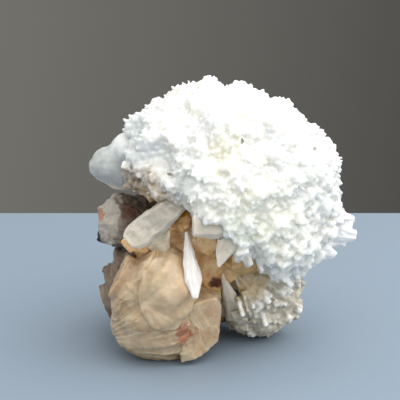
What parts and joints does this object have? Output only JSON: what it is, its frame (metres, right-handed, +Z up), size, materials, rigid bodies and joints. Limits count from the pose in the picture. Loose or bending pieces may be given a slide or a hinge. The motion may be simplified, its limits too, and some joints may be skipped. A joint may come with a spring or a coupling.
{
  "type": "scolecite on stilbite specimen",
  "caption": "Hand-sized mineral specimen: a white dome of radiating scolecite crystals on peach and honey-brown leafy stilbite with a remnant of host rock; rests on its underside.",
  "frame": {"origin": "bottom centre of the specimen's box, on the surface it rests on", "axes": "+Z up, the side with the open hollow faces -Y, the knob is at -X"},
  "size_m": [0.0966, 0.0722, 0.0986],
  "materials": {
    "host_rock": "rough",
    "stilbite_honey": "satin",
    "stilbite_peach": "satin",
    "stilbite_grey": "satin",
    "scolecite_white": "glossy",
    "scolecite_cream": "glossy",
    "scolecite_milky": "satin",
    "scolecite_crust": "satin"
  },
  "bodies": {
    "root": {"host_rock": "host_rock", "stilbite_body": "stilbite_honey", "stilbite_sheaf_front": "stilbite_peach", "stilbite_sheaf_side": "stilbite_grey", "stilbite_block": "stilbite_peach", "scolecite_spray": "scolecite_white", "scolecite_blades_right": "scolecite_white", "scolecite_spear": "scolecite_white", "scolecite_splinter": "scolecite_cream", "scolecite_knob": "scolecite_milky", "scolecite_paddle": "scolecite_milky", "scolecite_wedge": "scolecite_milky", "scolecite_spike": "scolecite_milky", "scolecite_needles": "scolecite_milky", "scolecite_crust": "scolecite_crust"}
  },
  "joints": []
}
